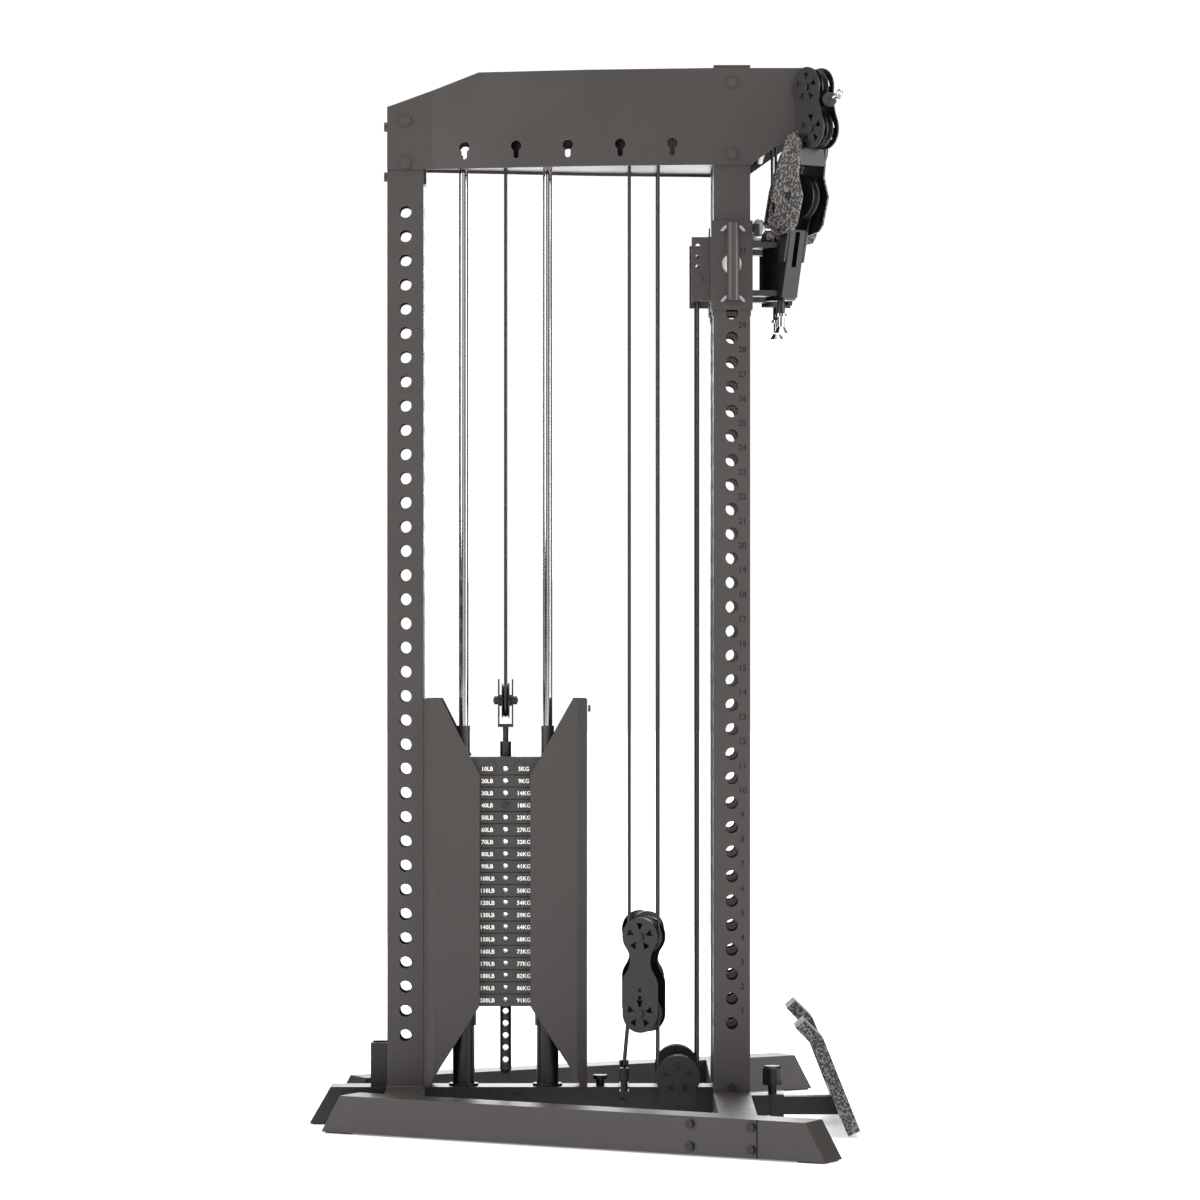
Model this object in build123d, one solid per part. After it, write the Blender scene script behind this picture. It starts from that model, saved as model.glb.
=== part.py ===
from build123d import *
import math
import os

# Dual cable tower: one rear and two front uprights on a splayed base, one weight stack
# in the middle, and on each side a trolley with a swivelling, tilting pulley arm.
# Frame: +X is the side the user stands on, +Y is the user's right, +Z is up, and the
# origin is on the floor under the middle of the bounding box. Millimetres.

# ---- driving dimensions ----
TUBE = 76.2               # outside of the square frame tubes
WALL = 3.0                # their wall
PAD_T = 3.0               # rubber pads under the base
BASE_TOP = PAD_T + TUBE   # top of the base tubes
HOLE_R = 12.7             # rack holes
HOLE_PITCH = 50.8

REAR_X = -369.5           # centre of the rear upright
REAR_TOP = 2130.0
REAR_HOLE_Z = 187.0       # its lowest hole
REAR_HOLES = 35

FRONT_X = 312.0           # centre of the front uprights
FRONT_Y = 106.0
FRONT_TOP = 2209.8
FRONT_HOLE_Z = 222.0      # their lowest hole
FRONT_HOLES = 33
CABLE_HOLE_Z = 2101.6     # the hole that the trolley cable runs through

BEAM_REAR_X = -570.5
BEVEL = 44.0              # how much shorter a bevelled end is at the top
FOOT_REAR_X = -536.5      # outer bottom corner at the foot's rear end
FOOT_REAR_Y = 194.0
FOOT_LEN = 1154.5
FOOT_SPLAY = 28.56        # degrees

GUSSET_T = 6.0
GUSSET_LOW = 2002.5
GUSSET_HIGH = 2203.0
GUSSET_FRONT = 470.0
FRAME_PLATE_Z = 2008.0    # underside of the plate between the gussets

STACK_X = -160.0
ROD_R = 10.0
ROD_SPREAD = 88.25        # each guide rod from the middle of the stack
PLATE_L = 250.0
PLATE_W = 95.0
PLATE_T = 25.2
PLATE_PITCH = 25.5
STACK_LOW = 249.0
PLATES = 19               # under the thicker top plate
TOP_PLATE_T = 38.2
LIFTED = 3                # plates pinned to the top plate
STEM_R = 12.0

CABLE_R = 3.0
AXLE_R = 5.0
BORE_R = 5.05

SMALL_R = 33.0            # cable line radius of the block, head and stack pulleys
LARGE_R = 41.0            # of the low, arm and top pulleys
TURN_R = 24.0             # of the pulley in front of the upright
BLOCK_X = 130.0
BLOCK_Y = 105.0
BLOCK_YAW = 25.0
BLOCK_HIGH = 400.0        # its pulley centres
BLOCK_LOW = 240.0
LOW_X = 200.9
LOW_Y = 119.0
LOW_Z = 108.5
TOP_RUN_Z = CABLE_HOLE_Z

SWIVEL_X = 404.5          # the trolley's swivel axis
SWIVEL_YAW = 52.0         # the arm points outward at rest
TROLLEY = 86.4            # outside of the trolley sleeve
TROLLEY_LOW = 1702.0
TROLLEY_HIGH = 1887.0
PIN_Z = 1796.8            # the hole the trolley is locked in
PIVOT_T = 84.0            # arm pivot, ahead of the swivel axis
PIVOT_Z = 1934.0

SHROUD_T = 2.0
SHROUD_Y = 60.0
RAIL_Z = 38.5             # middle of the foot plate's slider
RAIL = 47.0               # outside of its rail
SLIDER = 38.0
SLIDER_PITCH = 20.0       # between its stops

os.makedirs("parts", exist_ok=True)
built = {}


def keep(name, *shapes):
    """Write the solids of one node, each of them separate."""
    solids = [s for shape in shapes for s in shape.solids()]
    built[name] = Compound(children=solids)
    export_step(built[name], f"parts/{name}.step")


def keep_sides(name, *shapes):
    """Write a left node (-Y) and its mirror image on the right."""
    keep(f"{name}_left", *shapes)
    keep(f"{name}_right", *[mirror(s, about=Plane.XZ) for s in shapes])


def both(*shapes):
    """The shapes of the left side and their mirror images."""
    return [*shapes, *[mirror(s, about=Plane.XZ) for s in shapes]]


def block(x0, x1, y0, y1, z0, z1):
    return Pos((x0 + x1) / 2, (y0 + y1) / 2, (z0 + z1) / 2) * Box(x1 - x0, y1 - y0, z1 - z0)


def rod(start, end, radius):
    """A round bar from one point to another."""
    a, b = Vector(*start), Vector(*end)
    plane = Plane(origin=(a + b) * 0.5, z_dir=b - a)
    return plane * Cylinder(radius, (b - a).length)


def side_plate(points, y0, y1, holes=()):
    """A plate drawn in XZ that fills y0 to y1. Each hole is (x, z, radius)."""
    plane = Plane(origin=(0, y1, 0), x_dir=(1, 0, 0), z_dir=(0, -1, 0))
    solid = extrude(plane * make_face(Polyline(*points, close=True)), y1 - y0)
    for x, z, radius in holes:
        solid -= rod((x, y0 - 1, z), (x, y1 + 1, z), radius)
    return solid


def plan_plate(points, z0, z1):
    """A plate drawn in XY that fills z0 to z1."""
    return Pos(0, 0, z0) * extrude(make_face(Polyline(*points, close=True)), z1 - z0)


def cable(parts):
    """A round cable swept along tangent lines and arcs."""
    path = Wire(parts)
    profile = Plane(origin=path @ 0, z_dir=path % 0) * Circle(CABLE_R)
    solid = sweep(profile, path=path)
    section = math.pi * CABLE_R**2
    print("cable", round(path.length), "mm, volume / (section x length)",
          round(solid.volume / (section * path.length), 4))
    return solid


def pulley(centre, axis, cable_r, hub_half, bore=BORE_R):
    """A grooved pulley on its hub. The groove leaves 0.4 mm under the cable."""
    floor, rim, half = cable_r - CABLE_R - 0.4, cable_r + 5.0, 8.0
    outline = [(bore, -hub_half), (bore + 7, -hub_half), (bore + 7, -half), (rim, -half),
               (rim, -half + 1.5), (floor, -CABLE_R + 1.0), (floor, CABLE_R - 1.0),
               (rim, half - 1.5), (rim, half), (bore + 7, half), (bore + 7, hub_half),
               (bore, hub_half)]
    wheel = revolve(Plane.XZ * make_face(Polyline(*outline, close=True)), Axis.Z)
    return Plane(origin=centre, z_dir=axis) * wheel


def arc_in(centre, direction, radius, start_deg, end_deg):
    """An arc in the upright plane along a direction. 0 degrees is ahead, 90 is up."""
    c, d = Vector(*centre), Vector(*direction).normalized()

    def at(angle):
        a = math.radians(angle)
        return c + d * (radius * math.cos(a)) + Vector(0, 0, radius * math.sin(a))

    return ThreePointArc(at(start_deg), at((start_deg + end_deg) / 2), at(end_deg))


def eight(low, high, radius, waist, thickness):
    """A figure-eight plate in XZ between two centres, thickness along Y, middle at Y 0."""
    a, b = Vector(low[0], low[1]), Vector(high[0], high[1])
    half = (b - a).length / 2
    hollow = (waist**2 + half**2 - radius**2) / (2 * (radius - waist))
    share = radius / (radius + hollow)
    face = Pos(0, half) * Circle(radius) + Pos(0, -half) * Circle(radius)
    face += Rectangle(2 * (waist + hollow) * share, 2 * half * (1 - share))
    for sign in (-1, 1):
        face -= Pos(sign * (waist + hollow), 0) * Circle(hollow)
    lean = math.degrees(math.atan2(b.X - a.X, b.Y - a.Y))
    solid = Pos(0, 0, -thickness / 2) * extrude(face, thickness)
    middle = (a + b) * 0.5
    return Pos(middle.X, 0, middle.Y) * Rot(0, lean, 0) * Rot(90, 0, 0) * solid


def star(centre, inner, outer, thickness):
    """Five wedge-shaped windows round a point in XZ, as one cutter along Y."""
    cutter = None
    for n in range(5):
        a = math.radians(90 + 72 * n)
        tip = (inner * math.cos(a), inner * math.sin(a))
        left = (outer * math.cos(a + 0.26), outer * math.sin(a + 0.26))
        right = (outer * math.cos(a - 0.26), outer * math.sin(a - 0.26))
        wedge = side_plate([tip, left, right], -thickness, thickness)
        cutter = wedge if cutter is None else cutter + wedge
    return Pos(centre[0], 0, centre[1]) * cutter


# ---- rear upright: square tube with rack holes on all four faces ----
def holed_tube(x, y, z0, z1, first, count):
    half = TUBE / 2
    solid = block(x - half, x + half, y - half, y + half, z0, z1)
    solid -= block(x - half + WALL, x + half - WALL, y - half + WALL, y + half - WALL,
                   z0 - 1, z1 - WALL)
    cutters = []
    for n in range(count):
        z = first + HOLE_PITCH * n
        cutters.append(rod((x, y - half - 1, z), (x, y + half + 1, z), HOLE_R))
        cutters.append(rod((x - half - 1, y, z), (x + half + 1, y, z), HOLE_R))
    return solid - cutters


half = TUBE / 2
keep("rear_upright", holed_tube(REAR_X, 0, BASE_TOP, REAR_TOP, REAR_HOLE_Z, REAR_HOLES))

# ---- front uprights, side by side ----
front = holed_tube(FRONT_X, -FRONT_Y, BASE_TOP, FRONT_TOP, FRONT_HOLE_Z, FRONT_HOLES)
front -= rod((FRONT_X - half - 1, -FRONT_Y, CABLE_HOLE_Z),
             (FRONT_X + half + 1, -FRONT_Y, CABLE_HOLE_Z), HOLE_R)
keep("front_uprights", *both(front))

# ---- splayed feet: bevelled tubes with welded end plates ----
END_T = 5.0
profile = [(END_T, 0), (FOOT_LEN - END_T, 0), (FOOT_LEN - BEVEL - END_T, TUBE),
           (BEVEL + END_T, TUBE)]
cap = [(0, 0), (END_T, 0), (BEVEL + END_T, TUBE), (BEVEL, TUBE)]
far_cap = [(FOOT_LEN - x, z) for x, z in cap]
foot_place = Pos(FOOT_REAR_X, -FOOT_REAR_Y, PAD_T) * Rot(0, 0, -FOOT_SPLAY)
foot_tube = side_plate(profile, 0, TUBE)
foot_tube -= block(-1, FOOT_LEN + 1, WALL, TUBE - WALL, WALL, TUBE - WALL)
foot_parts = [foot_tube, side_plate(cap, 0, TUBE), side_plate(far_cap, 0, TUBE)]
keep("feet", *both(*[foot_place * s for s in foot_parts]))

# ---- centre beam, with a bevelled and closed rear end ----
beam_front = FRONT_X - half
beam_cap = [(BEAM_REAR_X + x, PAD_T + z) for x, z in cap]
beam_outline = [(BEAM_REAR_X + END_T, PAD_T), (beam_front, PAD_T), (beam_front, BASE_TOP),
                (BEAM_REAR_X + BEVEL + END_T, BASE_TOP)]
beam = side_plate(beam_outline, -half, half)
beam -= block(BEAM_REAR_X - 1, beam_front + 1, -half + WALL, half - WALL,
              PAD_T + WALL, BASE_TOP - WALL)
keep("centre_beam", beam, side_plate(beam_cap, -half, half))

# ---- cross members between the centre beam and the feet ----
slope = math.tan(math.radians(FOOT_SPLAY))
inner_x = FOOT_REAR_X + TUBE * math.sin(math.radians(FOOT_SPLAY))
inner_y = -FOOT_REAR_Y + TUBE * math.cos(math.radians(FOOT_SPLAY))


def foot_inside(x):
    """Y of the left foot's inner face at x."""
    return inner_y - (x - inner_x) * slope


def cross_tube(x0, x1, y_near):
    """A tube along -Y from y_near to the foot's inner face."""
    def plan(inset, start):
        return [(x0 + inset, start), (x1 - inset, start), (x1 - inset, foot_inside(x1 - inset)),
                (x0 + inset, foot_inside(x0 + inset))]
    hollow = plan(WALL, y_near + 1)
    hollow = hollow[:2] + [(x, y - 5) for x, y in hollow[2:]]
    outer = plan_plate(plan(0, y_near), PAD_T, BASE_TOP)
    return outer - plan_plate(hollow, PAD_T + WALL, BASE_TOP - WALL)


rear_stub = cross_tube(REAR_X - half, REAR_X + half, -half)
front_half = cross_tube(FRONT_X - half, FRONT_X + half, 0)
room = SLIDER / 2 + 0.6
front_cross = front_half + mirror(front_half, about=Plane.XZ)
front_cross -= block(FRONT_X - 50, FRONT_X + 50, -room, room, RAIL_Z - room, RAIL_Z + room)
keep("cross_members", *both(rear_stub), front_cross)

# ---- gusset plates: bent plates on the uprights' outer faces ----
front_face_y = FRONT_Y + half
bends = [(REAR_X - half, -half), (-311.5, -half), (13.5, -112.0),
         (FRONT_X - half, -front_face_y), (GUSSET_FRONT, -front_face_y)]


def strip(points, thickness):
    """The bent sheet with these points on its inner face, as a closed outline."""
    outer = []
    for n, p in enumerate(points):
        legs = []
        if n:
            legs.append(Vector(*p) - Vector(*points[n - 1]))
        if n + 1 < len(points):
            legs.append(Vector(*points[n + 1]) - Vector(*p))
        normals = [Vector(leg.Y, -leg.X).normalized() for leg in legs]
        mean = (normals[0] + normals[-1]).normalized()
        reach = thickness / mean.dot(normals[0])
        outer.append((p[0] + mean.X * reach, p[1] + mean.Y * reach))
    return points + outer[::-1]


gusset = plan_plate(strip(bends, GUSSET_T), GUSSET_LOW, GUSSET_HIGH)
gusset_side = [(REAR_X - half - 1, GUSSET_LOW - 1), (348.5, GUSSET_LOW - 1),
               (GUSSET_FRONT + 1, 2089.0), (GUSSET_FRONT + 1, GUSSET_HIGH + 1),
               (-212.5, GUSSET_HIGH + 1), (-393.5, 2138.0), (REAR_X - half - 1, 2133.0)]
gusset &= side_plate(gusset_side, -200, 0)
KEYHOLES = (-245.5, -136.5, -28.5, 80.5, 188.5)
for x in KEYHOLES:
    gusset -= rod((x, -200, 2048), (x, 0, 2048), 11.0)
    gusset -= block(x - 5.5, x + 5.5, -200, 0, 2027.5, 2048)
    gusset -= rod((x, -200, 2027.5), (x, 0, 2027.5), 5.5)
keep("gusset_plates", *both(gusset))

# ---- top frame: flange on the rear upright, plate between the gussets, pulley brackets ----
plate_z0, plate_z1 = FRAME_PLATE_Z, FRAME_PLATE_Z + 6.0
rear_face = REAR_X + half
half_plan = [(rear_face + 6, -34), (-311.5, -34), (13.5, -106), (FRONT_X - half, -138)]
plan = half_plan + [(x, -y) for x, y in half_plan[::-1]]
top_plate = plan_plate(plan, plate_z0, plate_z1)
flange = block(rear_face, rear_face + 6, -34, 34, 1972, 2112)

strand_d = Vector(math.cos(math.radians(BLOCK_YAW)), -math.sin(math.radians(BLOCK_YAW)), 0)
block_at = Vector(BLOCK_X, -BLOCK_Y, 0)
front_strand = block_at + strand_d * SMALL_R
back_strand = block_at - strand_d * SMALL_R
stack_strand = Vector(STACK_X, -SMALL_R, 0)
swivel = Vector(SWIVEL_X, -FRONT_Y, 0)
inward = (stack_strand - back_strand).normalized()
forward = (swivel - front_strand).normalized()
top_z = TOP_RUN_Z - LARGE_R
turn_z = TOP_RUN_Z - TURN_R
up = Vector(0, 0, 1)
TOP_PULLEYS = [
    (back_strand + inward * LARGE_R + up * top_z, inward, LARGE_R),
    (stack_strand - inward * LARGE_R + up * top_z, inward, LARGE_R),
    (front_strand + forward * LARGE_R + up * top_z, forward, LARGE_R),
]
turn_at = swivel - forward * TURN_R + up * turn_z
top_pulleys = []
for centre, way, radius in [*TOP_PULLEYS, (turn_at, forward, TURN_R)]:
    sideways = Vector(-way.Y, way.X, 0)
    top_pulleys.append(pulley(centre, sideways, radius, 9.0))
top_brackets = []
for centre, way, radius in TOP_PULLEYS:
    sideways = Vector(-way.Y, way.X, 0)
    place = Plane(origin=(centre.X, centre.Y, 0), x_dir=way, z_dir=up)
    cheeks = rod(centre - sideways * 14, centre + sideways * 14, AXLE_R)
    for side in (-1, 1):
        cheeks += place * block(-12, 12, side * 12 - 2, side * 12 + 2, plate_z1, centre.Z + 12)
    top_brackets.append(cheeks)
for x, y in [(front_strand.X, front_strand.Y), (back_strand.X, back_strand.Y),
             (STACK_X, -SMALL_R)]:
    for s in (-1, 1):
        top_plate -= Pos(x, s * y, plate_z0) * Cylinder(9.0, 30)
sideways = Vector(-forward.Y, forward.X, 0)
turn_bracket = rod(turn_at - sideways * 13, turn_at + sideways * 13, AXLE_R)
for side in (-1, 1):
    y = turn_at.Y + side * 12
    turn_bracket += block(FRONT_X + half, turn_at.X + 9, y - 2, y + 2, turn_z - 10, turn_z + 10)
keep("top_pulley_frame", top_plate, flange, *both(*top_brackets, turn_bracket))
keep("top_pulleys", *both(*top_pulleys))

# ---- guide rods, and the spacers and bumpers that carry the stack ----
rods = [rod((STACK_X + s, 0, BASE_TOP), (STACK_X + s, 0, plate_z0), ROD_R)
        for s in (-ROD_SPREAD, ROD_SPREAD)]
keep("guide_rods", *rods)
SPACER_TOP = 206.0
spacers = []
for s in (-ROD_SPREAD, ROD_SPREAD):
    x = STACK_X + s
    tube = rod((x, 0, BASE_TOP), (x, 0, SPACER_TOP), 23.0)
    tube += rod((x, 0, BASE_TOP), (x, 0, BASE_TOP + 5), 31.0)
    rubber = rod((x, 0, SPACER_TOP), (x, 0, STACK_LOW), 27.0)
    bore = rod((x, 0, 0), (x, 0, 400), ROD_R + 0.4)
    spacers += [tube - bore, rubber - bore]
keep("stack_supports", *spacers)

# ---- weight stack ----
PIN_R = 5.0


def weight(low, thickness):
    plate = block(STACK_X - PLATE_L / 2, STACK_X + PLATE_L / 2, -PLATE_W / 2, PLATE_W / 2,
                  low, low + thickness)
    plate = chamfer(plate.edges().filter_by(Axis.X), 1.5)
    for s in (-ROD_SPREAD, ROD_SPREAD):
        plate -= rod((STACK_X + s, 0, low - 1), (STACK_X + s, 0, low + thickness + 1), 10.6)
    plate -= rod((STACK_X, 0, low - 1), (STACK_X, 0, low + thickness + 1), STEM_R + 0.6)
    middle = low + PLATE_T / 2
    return plate - rod((STACK_X, -PLATE_W, middle), (STACK_X, PLATE_W, middle), PIN_R + 0.6)


lows = [STACK_LOW + PLATE_PITCH * n for n in range(PLATES)]
top_low = STACK_LOW + PLATE_PITCH * PLATES
keep("weight_plates", *[weight(z, PLATE_T) for z in lows[:PLATES - LIFTED]])
TOP_OF_STACK = top_low + TOP_PLATE_T
sleeves = []
for s in (-ROD_SPREAD, ROD_SPREAD):
    x = STACK_X + s
    sleeve = rod((x, 0, TOP_OF_STACK), (x, 0, TOP_OF_STACK + 64), 13.5)
    sleeves.append(sleeve - rod((x, 0, 0), (x, 0, 1000), ROD_R + 0.4))
head_face = -PLATE_W / 2
for s in (-1, 1):
    x = STACK_X + s * 30.3
    sleeves.append(rod((x, head_face - 6, 752), (x, head_face, 752), 9.0))
keep("lifted_plates", *[weight(z, PLATE_T) for z in lows[PLATES - LIFTED:]],
     weight(top_low, TOP_PLATE_T), *sleeves)

STEM_LOW, STEM_HIGH = 105.0, 803.0
stem = rod((STACK_X, 0, STEM_LOW + 8), (STACK_X, 0, STEM_HIGH), STEM_R)
stem += Pos(STACK_X, 0, STEM_LOW + 4) * Cone(STEM_R - 4, STEM_R, 8)
first_hole = STACK_LOW + PLATE_T / 2 - PLATE_PITCH * 5
stem -= [rod((STACK_X, -20, first_hole + PLATE_PITCH * n),
             (STACK_X, 20, first_hole + PLATE_PITCH * n), PIN_R + 1.0)
         for n in range(PLATES + 6)]
stem += rod((STACK_X, 0, STEM_HIGH), (STACK_X, 0, 833), 6.0)
keep("selector_stem", stem)

pin_z = lows[PLATES - LIFTED] + PLATE_T / 2
pin = rod((STACK_X, -50, pin_z), (STACK_X, 11, pin_z), PIN_R)
pin += rod((STACK_X, -64, pin_z), (STACK_X, -49, pin_z), 7.0)
keep("selector_pin", pin)

STACK_PULLEY_Z = 889.0
clevis = block(STACK_X - 16, STACK_X + 16, -15, 15, 833, 840)
for side in (-1, 1):
    clevis += block(STACK_X + side * 14.5 - 1.5, STACK_X + side * 14.5 + 1.5, -15, 15, 833, 934)
clevis += rod((STACK_X - 26, 0, STACK_PULLEY_Z), (STACK_X + 26, 0, STACK_PULLEY_Z), AXLE_R)
for side in (-1, 1):
    clevis += rod((STACK_X + side * 16, 0, STACK_PULLEY_Z),
                  (STACK_X + side * 24, 0, STACK_PULLEY_Z), 9.0)
keep("stack_clevis", clevis)
keep("stack_pulley", pulley((STACK_X, 0, STACK_PULLEY_Z), (1, 0, 0), SMALL_R, 12.5))

# ---- shrouds round the stack: bent sheets with slanted corners ----
SLIT_BACK, SLIT_FRONT = -213.5, -107.5
SHROUD_LOW, SHROUD_HIGH = BASE_TOP, 893.0
shroud_rear_x, shroud_front_x = rear_face + 0.4, 13.5


def shroud(points, slant):
    sheet = strip(points, SHROUD_T)
    body = plan_plate(sheet, SHROUD_LOW, SHROUD_HIGH)
    return body & side_plate(slant, -70, 70)


rear_plan = [(SLIT_BACK, -SHROUD_Y + 2), (-309, -SHROUD_Y + 2), (shroud_rear_x + 2, -37),
             (shroud_rear_x + 2, 37), (-309, SHROUD_Y - 2), (SLIT_BACK, SHROUD_Y - 2)]
rear_slant = [(shroud_rear_x - 1, SHROUD_LOW - 1), (-318, SHROUD_LOW - 1), (-312, 96),
              (SLIT_BACK, 250), (SLIT_BACK, 734), (-294.5, SHROUD_HIGH + 1),
              (shroud_rear_x - 1, SHROUD_HIGH + 1)]
front_plan = [(SLIT_FRONT, SHROUD_Y - 2), (-9.5, SHROUD_Y - 2), (shroud_front_x - 2, 37),
              (shroud_front_x - 2, -37), (-9.5, -SHROUD_Y + 2), (SLIT_FRONT, -SHROUD_Y + 2)]
front_slant = [(shroud_front_x + 1, SHROUD_LOW - 1), (-2, SHROUD_LOW - 1), (-8, 96),
               (SLIT_FRONT, 250), (SLIT_FRONT, 734), (-17.5, SHROUD_HIGH + 1),
               (shroud_front_x + 1, SHROUD_HIGH + 1)]
keep("shroud_rear", shroud(rear_plan[::-1], rear_slant))
keep("shroud_front", shroud(front_plan, front_slant))

# ---- base brackets: low pulley clevises, cable anchors, back bracket, beam bumper ----
low_at = (LOW_X, -LOW_Y, LOW_Z)
ANCHOR_TOP = 124.0
anchor = back_strand - strand_d * 12.0 + up * 100.0
BRACKET_Z = LOW_Z - 57.5  # underside of the clevis's bottom plate
low_bracket = block(LOW_X - 20, LOW_X + 20, -LOW_Y - 15, -LOW_Y + 15, BRACKET_Z, BRACKET_Z + 3.5)
for y in (-LOW_Y - 13.5, -LOW_Y + 13.5):
    cheek = rod((LOW_X, y - 1.5, LOW_Z), (LOW_X, y + 1.5, LOW_Z), 45.5)
    cheek += block(LOW_X - 38, LOW_X + 38, y - 1.5, y + 1.5, BRACKET_Z, LOW_Z - 20)
    low_bracket += cheek
low_bracket -= Pos(0, -LOW_Y, 0) * star((LOW_X, LOW_Z), 14, 32, 20)
low_bracket += rod((LOW_X, -LOW_Y - 15, LOW_Z), (LOW_X, -LOW_Y + 15, LOW_Z), AXLE_R)
low_arm = block(LOW_X - 20, LOW_X + 20, -LOW_Y + 15, -half, BRACKET_Z, 74)
anchor_arm = block(anchor.X - 10, anchor.X + 10, anchor.Y - 10, -half, 70, 76)
anchor_post = rod((anchor.X, anchor.Y, 76), (anchor.X, anchor.Y, 100), 7.0)
anchor_nut = rod((anchor.X, anchor.Y, 100), (anchor.X, anchor.Y, ANCHOR_TOP), 10.0)
rear_edge = REAR_X - half
channel = block(rear_edge - 35, rear_edge, -30, 30, BASE_TOP, 171)
channel -= block(rear_edge - 31, rear_edge + 1, -26, 26, BASE_TOP + 4, 172)
bumper = rod((39, 0, BASE_TOP), (39, 0, 93), 9.0)
bumper += rod((39, 0, 93), (39, 0, 101), 15.0)
keep("base_brackets", *both(low_bracket, low_arm, anchor_arm, anchor_post, anchor_nut), channel,
     bumper)
keep_sides("low_pulley", pulley(low_at, (0, 1, 0), LARGE_R, 11.6))

# ---- foot plate: a pad on each side of one slider, pinned in a rail on the centre line ----
rail_front = 424.5
KNOB_X = rail_front - 23.5
wall_front = FRONT_X + half
rail = block(wall_front, rail_front, -21.5, 21.5, RAIL_Z - 21.5, RAIL_Z + 21.5)
rail += block(rail_front - 28, rail_front, -RAIL / 2, RAIL / 2, RAIL_Z - RAIL / 2, RAIL_Z + RAIL / 2)
BARREL_TOP = 80.0
rail += rod((KNOB_X, 0, RAIL_Z + 20), (KNOB_X, 0, BARREL_TOP), 9.0)
rail -= block(wall_front - 1, rail_front + 1, -room, room, RAIL_Z - room, RAIL_Z + room)
rail -= rod((KNOB_X, 0, RAIL_Z), (KNOB_X, 0, BARREL_TOP + 1), 6.4)
keep("foot_rail", rail)

PAD_Y0, PAD_Y1 = 180.0, 296.0
pad = side_plate([(438.5, 225), (456.5, 241), (495.5, 203), (570.5, 15), (545.5, 4),
                  (473.5, 189)], -PAD_Y1, -PAD_Y0)
middle_bar = side_plate([(541.2, 15), (517.9, 75), (546.6, 75), (570.5, 15)], -PAD_Y0, PAD_Y0)
SLIDER_REAR, SLIDER_FRONT = 260.0, 548.0
near, far = SLIDER / 2, SLIDER / 2 - 3
slider = block(SLIDER_REAR, SLIDER_FRONT, -near, near, RAIL_Z - near, RAIL_Z + near)
slider -= block(SLIDER_REAR - 1, SLIDER_FRONT - 54, -far, far, RAIL_Z - far, RAIL_Z + far)
for n in range(7):
    x = KNOB_X - SLIDER_PITCH * n
    slider -= rod((x, 0, RAIL_Z), (x, 0, RAIL_Z + near + 1), 6.6)
keep("foot_plate", *both(pad), middle_bar, slider - middle_bar)
foot_pin = rod((KNOB_X, 0, RAIL_Z + far - 3), (KNOB_X, 0, BARREL_TOP + 2), 6.0)
knob = rod((KNOB_X, 0, BARREL_TOP + 0.5), (KNOB_X, 0, 120), 20.5)
foot_pin += chamfer(knob.faces().sort_by(Axis.Z)[-1].edges(), 5.0)
keep("foot_pin", foot_pin)

# ---- floating double-pulley blocks ----
block_place = Pos(BLOCK_X, -BLOCK_Y, 0) * Rot(0, 0, -BLOCK_YAW)
BLOCK_HALF = 21.0
cheek = eight((0, BLOCK_LOW + 60), (0, BLOCK_HIGH), 40.0, 23.0, 3.0)
cheek += block(-40, 40, -1.5, 1.5, BLOCK_LOW, BLOCK_LOW + 60)
cheek += rod((0, -1.5, BLOCK_LOW), (0, 1.5, BLOCK_LOW), 40.0)
cheek -= [star((0, BLOCK_LOW), 13, 29, 5), star((0, BLOCK_HIGH), 13, 29, 5)]
cheek -= [rod((0, -5, BLOCK_LOW + z), (0, 5, BLOCK_LOW + z), 4.0) for z in (18, 33, 48.6)]


def axle(x, z):
    """An axle bolt along Y between two cheeks, with a head at each end."""
    bar = rod((x, -BLOCK_HALF - 4, z), (x, BLOCK_HALF + 4, z), AXLE_R)
    for side in (-1, 1):
        bar += rod((x, side * BLOCK_HALF, z), (x, side * (BLOCK_HALF + 4), z), 8.5)
    return bar


def cheek_pair(plate, axles):
    """The plate at both sides, drilled for the axles."""
    return [Pos(0, side * (BLOCK_HALF - 1.5), 0) * plate - axles for side in (-1, 1)]


block_axles = [axle(0, BLOCK_LOW), axle(0, BLOCK_HIGH)]
block_parts = [*cheek_pair(cheek, block_axles), *block_axles,
               block(-9, 9, -BLOCK_HALF + 3, BLOCK_HALF - 3, 308, 338)]
keep_sides("block_body", *[block_place * s for s in block_parts])
across = Vector(-strand_d.Y, strand_d.X, 0)
for name, z in (("block_pulley_high", BLOCK_HIGH), ("block_pulley_low", BLOCK_LOW)):
    keep_sides(name, pulley(block_at + up * z, across, SMALL_R, 17.6))

# ---- trolleys ----
t_half = TROLLEY / 2
sleeve = block(FRONT_X - t_half, FRONT_X + t_half, -FRONT_Y - t_half, -FRONT_Y + t_half,
               TROLLEY_LOW, TROLLEY_HIGH)
lug_y0, lug_y1 = -FRONT_Y - 20, -FRONT_Y + 20
LUGS = (1732.0, 1832.0)
for z in LUGS:
    sleeve += block(FRONT_X + t_half - 1, SWIVEL_X, lug_y0, lug_y1, z, z + 12)
    sleeve += rod((SWIVEL_X, -FRONT_Y, z), (SWIVEL_X, -FRONT_Y, z + 12), 20.0)
    sleeve -= rod((SWIVEL_X, -FRONT_Y, z - 1), (SWIVEL_X, -FRONT_Y, z + 13), 12.05)
end_x = LOW_X + LARGE_R
tab = block(FRONT_X - t_half - 40, FRONT_X - t_half + 1, -129, -124, 1721, 1854)
tab -= [rod((241.5, -130, z), (241.5, -120, z), 4.5) for z in (1792.6, 1813, 1836)]
sleeve += tab
sleeve += rod((end_x, -LOW_Y, 1742), (end_x, -LOW_Y, 1776), 5.5)
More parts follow.
